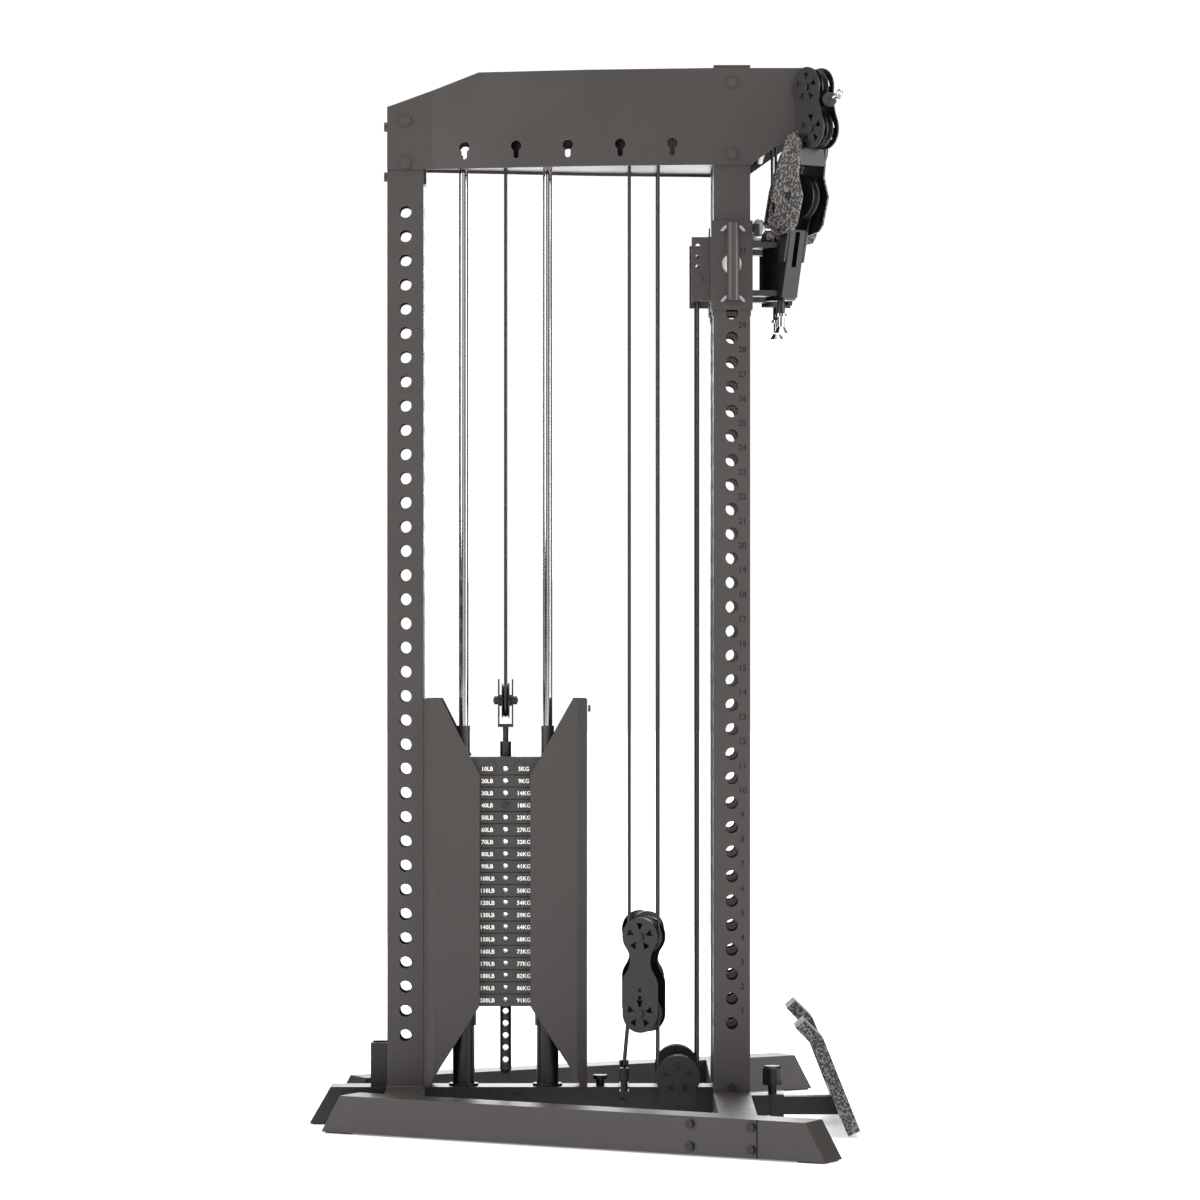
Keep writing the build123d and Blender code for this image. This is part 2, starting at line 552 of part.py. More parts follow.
sleeve += rod((end_x, -134.5, 1768), (end_x, -LOW_Y, 1768), 8.0)
inner = FRONT_X - t_half + WALL
sleeve -= block(inner, FRONT_X + t_half - WALL, -FRONT_Y - t_half + WALL,
                -FRONT_Y + t_half - WALL, TROLLEY_LOW - 1, TROLLEY_HIGH + 1)
sleeve -= rod((FRONT_X, -FRONT_Y - t_half - 1, PIN_Z), (FRONT_X, -FRONT_Y - 40, PIN_Z), 21.0)
keep_sides("trolley", sleeve)

# grab handle with the lock pin: pulled outward to free the trolley
face_y = -FRONT_Y - t_half
GRIP_X, GRIP_Y = FRONT_X + 2, face_y - 27.0
GRIP_LOW, GRIP_HIGH = 1720.0, 1880.0
grip = rod((GRIP_X, GRIP_Y, GRIP_LOW), (GRIP_X, GRIP_Y, GRIP_HIGH), 13.0)
lock_boss = rod((FRONT_X, GRIP_Y, PIN_Z), (FRONT_X, face_y + 4, PIN_Z), 10.0) - grip
handle_parts = [grip, lock_boss]
for post_z, apex in ((GRIP_LOW + 6, 1735.0), (GRIP_HIGH - 9, 1881.0)):
    post = block(GRIP_X - 9, GRIP_X + 9, GRIP_Y, face_y - 1, post_z - 5, post_z + 9) - grip
    centre_z = apex - 29.0
    arch = rod((GRIP_X, face_y - 9, centre_z), (GRIP_X, face_y - 1, centre_z), 29.0)
    arch -= rod((GRIP_X, face_y - 10, centre_z), (GRIP_X, face_y, centre_z), 23.0)
    arch &= block(GRIP_X - 40, GRIP_X + 40, face_y - 10, face_y, apex - 17, apex + 1)
    handle_parts += [post, arch - post]
keep_sides("trolley_handle", *handle_parts)

# ---- swivel yoke, arm and pulley head: drawn along X from the swivel axis, then turned ----
swivel_place = Pos(SWIVEL_X, -FRONT_Y, 0) * Rot(0, 0, -SWIVEL_YAW)
core = side_plate([(-18, 1745), (30, 1745), (30, 1727), (44, 1727), (73, 1866), (52, 1866),
                   (44, 1831), (-18, 1831)], -20.5, 20.5)
core += side_plate([(-16, 1722), (44, 1722), (44, 1731), (-16, 1731)], -16, 16)
core += rod((0, 0, 1730), (0, 0, 1846), 12.0)
core -= block(36, 80, -6, 6, 1790, 1862)
for side in (-1, 1):
    ear = side_plate([(40, 1800), (58, 1800), (73, 1866), (98, 1930), (98, 1940), (90, 1948),
                      (78, 1948), (70, 1940), (52, 1880)], 0, 5)
    core += Pos(0, side * 25 - 2.5, 0) * ear
    core += block(44, 56, *sorted((side * 20, side * 27)), 1810, 1830)
core += rod((PIVOT_T, -40, PIVOT_Z), (PIVOT_T, 40, PIVOT_Z), 8.0)
core += rod((17, 0, 1696), (17, 0, 1723), 8.0)
core -= rod((17, 0, 1690), (17, 0, 1723), 4.4)
keep_sides("yoke", swivel_place * core)

arm_outline = [(83, 2058.6), (100, 2065), (123, 2046), (113.5, 1974), (127, 1932), (110, 1876),
               (96.6, 1862), (16, 1847), (9, 1862), (39.5, 1974), (66, 2032)]
ARM_IN, ARM_OUT = 33.0, 37.0
PIN_T, ARM_PIN_Z = 45.0, 1868.0
arm_plate = side_plate(arm_outline, 0, ARM_OUT - ARM_IN,
                       [(PIVOT_T, PIVOT_Z, 8.05)])
arm_plate -= block(31, 41, -1, 5, 1905.5, 1920.5)
arm_plate -= [rod((36, -1, z), (36, 5, z), 5.0) for z in (1905.5, 1920.5)]
pin_hole = rod((PIN_T, -ARM_OUT - 20, ARM_PIN_Z), (PIN_T, -ARM_IN + 1, ARM_PIN_Z), 5.4)
arm_parts = [Pos(0, ARM_IN, 0) * arm_plate, Pos(0, -ARM_OUT, 0) * arm_plate - pin_hole,
             block(81, 118, -ARM_IN, ARM_IN, 1996, 2031),
             rod((PIN_T, -ARM_OUT - 19, ARM_PIN_Z), (PIN_T, -ARM_OUT, ARM_PIN_Z), 9.5) - pin_hole]
keep_sides("arm", *[swivel_place * s for s in arm_parts])

out = -ARM_OUT - 19.5
arm_pin = rod((PIN_T, out - 30, ARM_PIN_Z), (PIN_T, -ARM_IN - 1, ARM_PIN_Z), 5.0)
arm_pin += rod((PIN_T, out - 16, ARM_PIN_Z), (PIN_T, out, ARM_PIN_Z), 8.0)
arm_pin += rod((PIN_T, out - 30, ARM_PIN_Z), (PIN_T, out - 26, ARM_PIN_Z), 18.0)
keep_sides("arm_pin", swivel_place * arm_pin)
yoke_pin = rod((17, 0, 1655), (17, 0, 1718), 4.0)
yoke_pin += rod((17, 0, 1689), (17, 0, 1695.5), 11.5)
yoke_pin += rod((17, 0, 1668), (17, 0, 1690), 7.0)
yoke_pin += Pos(17, 0, 1661) * Cone(15.5, 7.0, 14)
keep_sides("yoke_pin", swivel_place * yoke_pin)
keep_sides("arm_pulley", swivel_place * pulley((PIVOT_T, 0, PIVOT_Z), (0, 1, 0), LARGE_R, 21.5, 8.05))

HEAD_LOW, HEAD_HIGH = (136.0, 2070.0), (121.0, 2157.0)
cheek = eight(HEAD_LOW, HEAD_HIGH, 41.0, 34.5, 3.0)
cheek -= [star(HEAD_LOW, 13, 30, 5), star(HEAD_HIGH, 13, 30, 5)]
head_axles = [axle(*HEAD_LOW), axle(*HEAD_HIGH)]
head_parts = [*cheek_pair(cheek, head_axles), *head_axles]
head_parts += [rod((106, s * BLOCK_HALF, 2047), (106, s * ARM_IN, 2047), 8.0) for s in (-1, 1)]
keep_sides("head_plates", *[swivel_place * s for s in head_parts])
for name, (x, z) in (("head_pulley_low", HEAD_LOW), ("head_pulley_high", HEAD_HIGH)):
    keep_sides(name, swivel_place * pulley((x, 0, z), (0, 1, 0), SMALL_R, 17.6))

STOP = (171.0, 2128.0)
stop = Pos(STOP[0], 0, STOP[1]) * Sphere(15.0)
stop += rod((STOP[0], 0, STOP[1]), (STOP[0] + 26, 0, STOP[1] + 7), 6.0)
eye = Pos(STOP[0] + 32, 0, STOP[1] + 9) * Rot(90, 0, 0) * Torus(8.0, 2.8)
keep("cable_stop_left", swivel_place * (stop + eye))
keep("cable_stop_right", Pos(SWIVEL_X, FRONT_Y, 0) * Rot(0, 0, SWIVEL_YAW) * (stop + eye))

# ---- cables ----
def tangent_angle(point, centre, radius, side):
    """The angle, in degrees, at which a line from a point touches a circle."""
    d = Vector(*point) - Vector(*centre)
    return math.degrees(math.atan2(d.Y, d.X) + side * math.acos(radius / d.length))


def straight(a, b):
    return Line(a, b)


def at(base, z):
    return Vector(base.X, base.Y, z)


YOKE_TOP = 1846.4
turn_arc = arc_in(turn_at, forward, TURN_R, 0, 90)
front_arc = arc_in(TOP_PULLEYS[2][0], forward, LARGE_R, 90, 180)
wrap = arc_in(block_at + up * BLOCK_HIGH, strand_d, SMALL_R, 0, -180)
back_arc = arc_in(TOP_PULLEYS[0][0], inward, LARGE_R, 180, 90)
stack_arc = arc_in(TOP_PULLEYS[1][0], inward, LARGE_R, 90, 0)
main = [straight(at(swivel, YOKE_TOP), turn_arc @ 0), turn_arc,
        straight(turn_arc @ 1, front_arc @ 0), front_arc,
        straight(front_arc @ 1, wrap @ 0), wrap,
        straight(wrap @ 1, back_arc @ 0), back_arc,
        straight(back_arc @ 1, stack_arc @ 0), stack_arc]
lean = tangent_angle((-SMALL_R - 12, 100 - BLOCK_LOW), (0, 0), SMALL_R, -1)
over = arc_in(block_at + up * BLOCK_LOW, strand_d, SMALL_R, lean % 360, 0)
under = arc_in(low_at, (1, 0, 0), LARGE_R, -180, 0)
lower = [straight(at(anchor, ANCHOR_TOP + 0.4), over @ 0), over, straight(over @ 1, under @ 0), under,
         straight(under @ 1, Vector(end_x, -LOW_Y, 1741.7))]
keep_sides("side_cable", cable(main), cable(lower))
hang = ThreePointArc((STACK_X, -SMALL_R, STACK_PULLEY_Z),
                     (STACK_X, 0, STACK_PULLEY_Z - SMALL_R), (STACK_X, SMALL_R, STACK_PULLEY_Z))
keep("stack_cable", cable([straight((STACK_X, -SMALL_R, top_z), (STACK_X, -SMALL_R, STACK_PULLEY_Z)),
                           hang, straight((STACK_X, SMALL_R, STACK_PULLEY_Z),
                                          (STACK_X, SMALL_R, top_z))]))

# ---- bolt heads, all on the frame ----
def head_y(x, z, y, out_sign, radius=11.0):
    """A button head on a face at y, standing out along Y."""
    return rod((x, y, z), (x, y + out_sign * 6, z), radius)


bolts = []
gusset_out = -half - GUSSET_T
for z in (2104.0, 2014.6):
    bolts += both(head_y(REAR_X, z, gusset_out, -1))
for z in (2172.0, 2024.0):
    bolts += both(head_y(FRONT_X, z, -front_face_y - GUSSET_T, -1))
bolts += both(head_y(FRONT_X, BASE_TOP + 10.5, -front_face_y, -1, 9.0))
for x, z in ((-193.5, 55), (-131.5, 55), (85.5, 45)):
    bolts += both(head_y(x, z, -half, -1, 9.0))
for z in (2095.0, 1990.0):
    bolts.append(rod((REAR_X - half - 8, 0, z), (REAR_X - half, 0, z), 10.0))
foot_normal = Vector(-math.sin(math.radians(FOOT_SPLAY)), -math.cos(math.radians(FOOT_SPLAY)), 0)
for x in (216.5, 335.5):
    for z in (20.0, 64.0):
        y = -FOOT_REAR_Y - (x - FOOT_REAR_X) * slope
        face = Vector(x, y, z)
        bolts += both(rod(face, face + foot_normal * 6, 9.0))
bolts.append(rod((shroud_front_x, 0, 872), (shroud_front_x + 5, 0, 872), 7.0))
bolts.append(rod((377.5, -front_face_y, 2036), (377.5, front_face_y, 2036), 8.0))
keep("frame_bolts", *bolts)

# ---- rubber pads under the base ----
pads = []
for x in (6.0, FOOT_LEN - 64.0):
    pads += both(foot_place * block(x, x + 58, 6, TUBE - 6, -PAD_T, 0))
pads.append(block(BEAM_REAR_X + 6, BEAM_REAR_X + 64, -30, 30, 0, PAD_T))
pads.append(block(FRONT_X - 30, FRONT_X + 30, -60, 60, 0, PAD_T))
keep("floor_pads", *pads)

box = Compound(children=[Compound(children=list(c.solids())) for c in built.values()]).bounding_box()
print("nodes", len(built), "box", box.min, box.max)
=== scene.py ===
import math

import bmesh
import bpy
from mathutils import Matrix, Vector


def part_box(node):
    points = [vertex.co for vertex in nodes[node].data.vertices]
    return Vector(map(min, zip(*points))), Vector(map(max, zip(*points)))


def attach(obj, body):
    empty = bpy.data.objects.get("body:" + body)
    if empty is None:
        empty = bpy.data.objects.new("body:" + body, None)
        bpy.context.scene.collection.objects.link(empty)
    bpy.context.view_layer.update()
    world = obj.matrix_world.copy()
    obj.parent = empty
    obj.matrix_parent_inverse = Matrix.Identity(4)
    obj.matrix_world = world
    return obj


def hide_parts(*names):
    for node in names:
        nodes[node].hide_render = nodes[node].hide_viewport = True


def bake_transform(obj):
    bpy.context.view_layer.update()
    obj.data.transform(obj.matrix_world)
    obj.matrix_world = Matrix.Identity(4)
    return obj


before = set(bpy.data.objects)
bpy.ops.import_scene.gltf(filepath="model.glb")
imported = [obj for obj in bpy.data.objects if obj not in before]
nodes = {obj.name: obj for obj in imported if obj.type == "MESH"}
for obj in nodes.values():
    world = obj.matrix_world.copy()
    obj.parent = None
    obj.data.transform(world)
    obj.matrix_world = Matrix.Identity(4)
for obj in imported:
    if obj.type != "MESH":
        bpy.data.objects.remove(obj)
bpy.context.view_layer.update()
scene = bpy.context.scene
SIDES = (("left", -1), ("right", 1))

# ---- The studio ----
# A level camera with a long lens looks square at the tower's side. The floor and the
# room are plain white, and four soft boxes give the long pale streaks on paint and chrome.
camera = bpy.data.objects.new("camera", bpy.data.cameras.new("camera"))
scene.collection.objects.link(camera)
scene.camera = camera
camera.location = (0.0385, -10.038, 1.1)
camera.rotation_euler = (math.radians(90), 0, 0)
camera.data.lens = 143.1
camera.data.sensor_width = 36
camera.data.clip_end = 100


def linear(code):
    """A '#rrggbb' paint-chart colour as the linear values that the shaders take."""
    parts = [int(code[n:n + 2], 16) / 255 for n in (1, 3, 5)]
    return tuple(c / 12.92 if c <= 0.04045 else ((c + 0.055) / 1.055) ** 2.4
                 for c in parts) + (1.0,)


def add(tree, kind, values=None, **settings):
    """One node with its settings. A value that is a socket becomes a link."""
    made = tree.nodes.new(kind)
    for name, value in settings.items():
        setattr(made, name, value)
    for socket, value in (values or {}).items():
        if isinstance(value, bpy.types.NodeSocket):
            tree.links.new(value, made.inputs[socket])
        else:
            made.inputs[socket].default_value = value
    return made


def blank(name):
    """An empty material, its output node and object coordinates."""
    material = bpy.data.materials.new(name)
    material.use_nodes = True
    tree = material.node_tree
    tree.nodes.clear()
    output = add(tree, "ShaderNodeOutputMaterial")
    place = add(tree, "ShaderNodeTexCoord").outputs["Object"]
    return material, tree, output, place


def soft_box(name, spot, target, size, watts):
    data = bpy.data.lights.new(name, "AREA")
    data.shape = "RECTANGLE"
    data.size, data.size_y = size
    data.energy = watts
    light = bpy.data.objects.new(name, data)
    light.location = spot
    light.rotation_euler = (Vector(target) - Vector(spot)).to_track_quat("-Z", "Y").to_euler()
    scene.collection.objects.link(light)


soft_box("left_soft_box", (-4.5, -3.0, 3.2), (0, 0, 1.1), (2.0, 4.0), 200)
soft_box("right_soft_box", (4.5, -2.0, 2.6), (0, 0, 1.1), (1.6, 4.0), 170)
soft_box("back_soft_box", (0.5, 5.0, 2.6), (0, 0, 1.1), (3.0, 3.0), 120)
soft_box("top_soft_box", (0.3, -0.5, 5.5), (0, 0, 0), (4.0, 4.0), 150)

# The room is white where it is looked at. What the metal mirrors is graded: pale in four
# broad fields and dark in the narrow gaps between them, as flags are set round chrome.
world = bpy.data.worlds.new("white_room")
scene.world = world
world.use_nodes = True
tree = world.node_tree
tree.nodes.clear()
heading = add(tree, "ShaderNodeSeparateXYZ",
              {0: add(tree, "ShaderNodeTexCoord").outputs["Generated"]})
turn = add(tree, "ShaderNodeMath", {0: heading.outputs["Y"], 1: heading.outputs["X"]},
           operation="ARCTAN2")
waves = add(tree, "ShaderNodeMath", {0: turn.outputs[0], 1: 4.0}, operation="MULTIPLY")
swing = add(tree, "ShaderNodeMath", {0: waves.outputs[0]}, operation="COSINE")
field = add(tree, "ShaderNodeMapRange", {"Value": swing.outputs[0], "From Min": -0.55,
                                         "From Max": 0.1, "To Min": 0.1, "To Max": 0.8},
            interpolation_type="SMOOTHSTEP")
hard = add(tree, "ShaderNodeMapRange", {"Value": swing.outputs[0], "From Min": -0.1,
                                        "From Max": 0.35, "To Min": 0.015, "To Max": 0.9},
           interpolation_type="SMOOTHSTEP")
seen = add(tree, "ShaderNodeLightPath")
lit = add(tree, "ShaderNodeMix", {0: seen.outputs["Is Glossy Ray"], 2: field.outputs[0],
                                  3: hard.outputs[0]})
level = add(tree, "ShaderNodeMix", {0: seen.outputs["Is Camera Ray"], 2: lit.outputs[0], 3: 1.05})
sky = add(tree, "ShaderNodeBackground", {"Color": (1, 1, 1, 1), "Strength": level.outputs[0]})
add(tree, "ShaderNodeOutputWorld", {"Surface": sky.outputs[0]})
scene.view_settings.view_transform = "Standard"

# White painted floor: smooth, matt, with a faint mottle. It also glows by its own emission,
# faint round the tower and full a few metres out: painted light that keeps the floor white.
floor_mesh = bmesh.new()
bmesh.ops.create_grid(floor_mesh, x_segments=1, y_segments=1, size=30)
floor_data = bpy.data.meshes.new("floor")
floor_mesh.to_mesh(floor_data)
floor_mesh.free()
floor = bpy.data.objects.new("floor", floor_data)
scene.collection.objects.link(floor)
material, tree, output, place = blank("white_floor_with_painted_glow")
mottle = add(tree, "ShaderNodeTexNoise", {"Vector": place, "Scale": 3.0, "Detail": 3.0})
tone = add(tree, "ShaderNodeMix", {0: mottle.outputs["Fac"], 6: linear("#fbfbfb"),
                                   7: linear("#ffffff")}, data_type="RGBA")
reach = add(tree, "ShaderNodeVectorMath", {0: place}, operation="LENGTH")
painted_floor_glow = add(tree, "ShaderNodeMapRange", {"Value": reach.outputs["Value"], "From Min": 1.6,
                                        "From Max": 4.5, "To Min": 0.3, "To Max": 1.0},
           interpolation_type="SMOOTHSTEP")
coat = add(tree, "ShaderNodeBsdfPrincipled",
           {"Base Color": tone.outputs[2], "Roughness": 0.6, "Emission Color": tone.outputs[2],
            "Emission Strength": painted_floor_glow.outputs[0]})
tree.links.new(coat.outputs[0], output.inputs["Surface"])
floor_data.materials.append(material)


def dress(node, material):
    """Gives a CAD node its finish."""
    slots = nodes[node].data.materials
    slots.clear()
    slots.append(material)


def dress_part(node, material, chosen):
    """Gives a second finish to the faces of a CAD node whose middle is chosen."""
    mesh = nodes[node].data
    mesh.materials.append(material)
    for face in mesh.polygons:
        if chosen(face.center):
            face.material_index = len(mesh.materials) - 1


def finished(name, bm, material, body, smooth=True):
    """A bmesh as a piece that rides on a body, or on none when none is named; two cable runs are
    attached to the frame later.
    """
    data = bpy.data.meshes.new(name)
    if smooth:
        for face in bm.faces:
            face.smooth = True
    bm.to_mesh(data)
    bm.free()
    data.materials.append(material)
    piece = bpy.data.objects.new(name, data)
    scene.collection.objects.link(piece)
    if isinstance(body, str):
        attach(piece, body)
    return piece


# ---- Welded frame ----
# Square steel tube and folded plate, laser-cut, welded, then powder coated in charcoal
# semi-gloss. The coat has a fine orange-peel skin and wears pale along the sharp edges.
def powder_coat(name, main, dusty, worn, rough, peel_mm):
    material, tree, output, place = blank(name)
    cloud = add(tree, "ShaderNodeTexNoise", {"Vector": place, "Scale": 4.5, "Detail": 4.0})
    peel = add(tree, "ShaderNodeTexNoise", {"Vector": place, "Scale": 1000 / peel_mm,
                                            "Detail": 2.0})
    speck = add(tree, "ShaderNodeTexNoise", {"Vector": place, "Scale": 260.0, "Detail": 3.0})
    soft = add(tree, "ShaderNodeMapRange", {"Value": cloud.outputs["Fac"], "From Min": 0.3,
                                            "From Max": 0.75, "To Min": 0.0, "To Max": 0.6})
    tone = add(tree, "ShaderNodeMix", {0: soft.outputs[0], 6: linear(main), 7: linear(dusty)},
               data_type="RGBA")
    rounded = add(tree, "ShaderNodeBevel", {"Radius": 0.0012}, samples=4)
    solid = add(tree, "ShaderNodeNewGeometry")
    same = add(tree, "ShaderNodeVectorMath", {0: rounded.outputs[0], 1: solid.outputs["Normal"]},
               operation="DOT_PRODUCT")
    edge = add(tree, "ShaderNodeMapRange", {"Value": same.outputs["Value"], "From Min": 0.985,
                                            "From Max": 0.8, "To Min": 0.0, "To Max": 1.0})
    chips = add(tree, "ShaderNodeMapRange", {"Value": speck.outputs["Fac"], "From Min": 0.42,
                                             "From Max": 0.7, "To Min": 0.0, "To Max": 0.75})
    wear = add(tree, "ShaderNodeMath", {0: edge.outputs[0], 1: chips.outputs[0]},
               operation="MULTIPLY")
    colour = add(tree, "ShaderNodeMix", {0: wear.outputs[0], 6: tone.outputs[2], 7: linear(worn)},
                 data_type="RGBA")
    gloss = add(tree, "ShaderNodeMapRange", {"Value": cloud.outputs["Fac"], "From Min": 0.3,
                                             "From Max": 0.7, "To Min": rough - 0.05,
                                             "To Max": rough + 0.07})
    bump = add(tree, "ShaderNodeBump", {"Height": peel.outputs["Fac"], "Strength": 0.12,
                                        "Distance": 0.0004, "Normal": rounded.outputs[0]})
    coat = add(tree, "ShaderNodeBsdfPrincipled",
               {"Base Color": colour.outputs[2], "Roughness": gloss.outputs[0], "Metallic": 0.0,
                "IOR": 1.5, "Normal": bump.outputs[0]})
    tree.links.new(coat.outputs[0], output.inputs["Surface"])
    return material


charcoal_powder_coat = powder_coat("charcoal_powder_coat", "#322e2c", "#393533", "#716d6a",
                                   0.4, 2.2)
for name in ("rear_upright", "front_uprights", "feet", "cross_members", "gusset_plates",
             "shroud_rear", "shroud_front", "frame_bolts"):
    dress(name, charcoal_powder_coat)

# Hole numbers, cut into the outer faces of the front uprights by the laser. Their near-black
# flat lettering, laid just above each face, is painted shade for the cuts. They count the
# 50.8 mm holes up from the floor.
material, tree, output, place = blank("painted_cut_shade_and_dark_seam")
grain = add(tree, "ShaderNodeTexNoise", {"Vector": place, "Scale": 900.0, "Detail": 2.0})
dark = add(tree, "ShaderNodeMix", {0: grain.outputs["Fac"], 6: linear("#070707"),
                                   7: linear("#0d0c0c")}, data_type="RGBA")
cut_shade_bsdf = add(tree, "ShaderNodeBsdfPrincipled", {"Base Color": dark.outputs[2], "Roughness": 0.8})
tree.links.new(cut_shade_bsdf.outputs[0], output.inputs["Surface"])
cut_shade_and_seam_dark = material


SIZE_PER_HEIGHT = 1.38      # the font's size over the height of its digits


def written(lines, name, material, body):
    """Flat lettering as one mesh. Each line is (text, height, middle, facing sign along Y)."""
    bm = bmesh.new()
    for text, height, middle, facing in lines:
        curve = bpy.data.curves.new("line", "FONT")
        curve.body = text
        curve.size = height * SIZE_PER_HEIGHT
        curve.align_x = "CENTER"
        curve.align_y = "CENTER"
        curve.resolution_u = 2
        curve.offset = height * 0.03
        holder = bpy.data.objects.new("line", curve)
        scene.collection.objects.link(holder)
        bpy.context.view_layer.update()
        depsgraph = bpy.context.evaluated_depsgraph_get()
        flat = bpy.data.meshes.new_from_object(holder.evaluated_get(depsgraph))
        turn = Matrix.Rotation(math.radians(90), 4, "X")
        if facing > 0:
            turn = Matrix.Rotation(math.radians(180), 4, "Z") @ turn
        flat.transform(Matrix.Translation(middle) @ turn)
        bm.from_mesh(flat)
        bpy.data.objects.remove(holder)
    return finished(name, bm, material, body, smooth=False)


HOLE_PITCH = 0.0508
FIRST_HOLE = 0.222
NUMBER_X = 0.334
NUMBER_HEIGHT = 0.0125
NUMBER_LIFT = 0.00015
low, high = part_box("front_uprights")
lines = []
for side, sign in SIDES:
    face = (low.y if sign < 0 else high.y) + sign * NUMBER_LIFT
    for n in range(1, 31):
        z = FIRST_HOLE + HOLE_PITCH * (n - 1) + HOLE_PITCH / 2
        lines.append((str(n), NUMBER_HEIGHT, Vector((NUMBER_X, face, z)), sign))
written(lines, "hole_numbers", cut_shade_and_seam_dark, "frame")

# Weld beads where the cross members meet the centre beam: short stacked ripples of MIG
# weld, coated together with the frame.
STUB_REAR, STUB_FRONT = -0.4075, -0.3315
BEAM_SIDE = 0.0381
STUB_TOP = 0.0792
BEAD_RADIUS = 0.0032
bm = bmesh.new()
for side, sign in SIDES:
    for step in range(24):
        for x in (STUB_REAR, STUB_FRONT):
            spot = Vector((x, sign * BEAM_SIDE, 0.006 + step * 0.003))
            bmesh.ops.create_icosphere(bm, subdivisions=1, radius=BEAD_RADIUS,
                                       matrix=Matrix.Translation(spot))
    for step in range(25):
        spot = Vector((STUB_REAR + step * 0.00317, sign * BEAM_SIDE, STUB_TOP))
        bmesh.ops.create_icosphere(bm, subdivisions=1, radius=BEAD_RADIUS,
                                   matrix=Matrix.Translation(spot))
finished("weld_beads", bm, charcoal_powder_coat, "frame")

# ---- Rubber floor pads ----
# Cut from 3 mm ribbed black rubber sheet and glued under the base.
material, tree, output, place = blank("black_rubber_sheet")
ribs = add(tree, "ShaderNodeTexWave", {"Vector": place, "Scale": 160.0, "Distortion": 0.3})
dust = add(tree, "ShaderNodeTexNoise", {"Vector": place, "Scale": 60.0, "Detail": 5.0})
tone = add(tree, "ShaderNodeMix", {0: dust.outputs["Fac"], 6: linear("#1a1a1a"),
                                   7: linear("#2b2a29")}, data_type="RGBA")
bump = add(tree, "ShaderNodeBump", {"Height": ribs.outputs["Fac"], "Strength": 0.3,
                                    "Distance": 0.0004})
rubber = add(tree, "ShaderNodeBsdfPrincipled", {"Base Color": tone.outputs[2], "Roughness": 0.82,
                                                "Normal": bump.outputs[0]})
tree.links.new(rubber.outputs[0], output.inputs["Surface"])
black_rubber = material
dress("floor_pads", black_rubber)

# ---- Black coated parts ----
# Brackets, pulley blocks and yokes: laser-cut steel with a satin black powder coat.
black_powder_coat = powder_coat("satin_black_powder_coat", "#080808", "#0f0f0e", "#464442",
                                0.36, 1.8)
for name in ("centre_beam", "top_pulley_frame", "base_brackets", "stack_supports",
             "stack_clevis", "foot_rail"):
    dress(name, black_powder_coat)
dress_part("frame_bolts", black_powder_coat, lambda spot: spot.z < 0.2)
for side, sign in SIDES:
    for name in ("yoke", "head_plates", "block_body"):
        dress(f"{name}_{side}", black_powder_coat)

# ---- Chrome ----
# Guide rods are drawn steel, hard-chromed and polished round and round; the handles'
# arches, pull pins and cable-stop rings have the same plating with faint turning marks.
material, tree, output, place = blank("polished_chrome_plate")
rings = add(tree, "ShaderNodeMapping", {"Vector": place, "Scale": (40.0, 40.0, 1400.0)})
lathe = add(tree, "ShaderNodeTexNoise", {"Vector": rings.outputs[0], "Scale": 1.0, "Detail": 2.0})
smear = add(tree, "ShaderNodeTexNoise", {"Vector": place, "Scale": 12.0, "Detail": 4.0})
gloss = add(tree, "ShaderNodeMapRange", {"Value": smear.outputs["Fac"], "To Min": 0.03,
                                         "To Max": 0.12})
tone = add(tree, "ShaderNodeMix", {0: smear.outputs["Fac"], 6: linear("#a5a3a2"),
                                   7: linear("#c6c4c3")}, data_type="RGBA")
bump = add(tree, "ShaderNodeBump", {"Height": lathe.outputs["Fac"], "Strength": 0.04,
                                    "Distance": 0.0002})
plate = add(tree, "ShaderNodeBsdfPrincipled", {"Base Color": tone.outputs[2], "Metallic": 1.0,
                                               "Roughness": gloss.outputs[0],
                                               "Normal": bump.outputs[0]})
tree.links.new(plate.outputs[0], output.inputs["Surface"])
chrome = material
GRIP_X = 0.314
GRIP_HALF = 0.0135
dress("guide_rods", chrome)
for side, sign in SIDES:
    for name in ("yoke_pin", "arm_pin"):
        dress(f"{name}_{side}", chrome)
    dress(f"trolley_handle_{side}", charcoal_powder_coat)
    dress_part(f"trolley_handle_{side}", chrome, lambda spot: abs(spot.x - GRIP_X) > GRIP_HALF)

# ---- Weight stack ----
# Plates sawn from flat steel bar and painted black, with a small pale label at each end
# of the near edge: pounds on one side of the pin hole and kilograms on the other.
stack_paint = powder_coat("black_stack_enamel", "#2d2a29", "#393633", "#7a7774", 0.4, 3.0)
for name in ("weight_plates", "lifted_plates"):
    dress(name, stack_paint)
material, tree, output, place = blank("white_screen_print")
fibre = add(tree, "ShaderNodeTexNoise", {"Vector": place, "Scale": 1500.0, "Detail": 1.0})
tone = add(tree, "ShaderNodeMix", {0: fibre.outputs["Fac"], 6: linear("#d8d6d2"),
                                   7: linear("#f4f2ee")}, data_type="RGBA")
ink = add(tree, "ShaderNodeBsdfPrincipled", {"Base Color": tone.outputs[2], "Roughness": 0.5})
tree.links.new(ink.outputs[0], output.inputs["Surface"])
white_print = material
PLATE_PITCH = 0.0255
PLATES = 20
RESTING = 16
KG_PER_POUND = 0.4536
LABEL_REAR, LABEL_FRONT = -0.1976, -0.121
LABEL_HEIGHT = 0.0088
LABEL_LIFT = 0.0002
low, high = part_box("lifted_plates")
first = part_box("weight_plates")[0].z + 0.0126
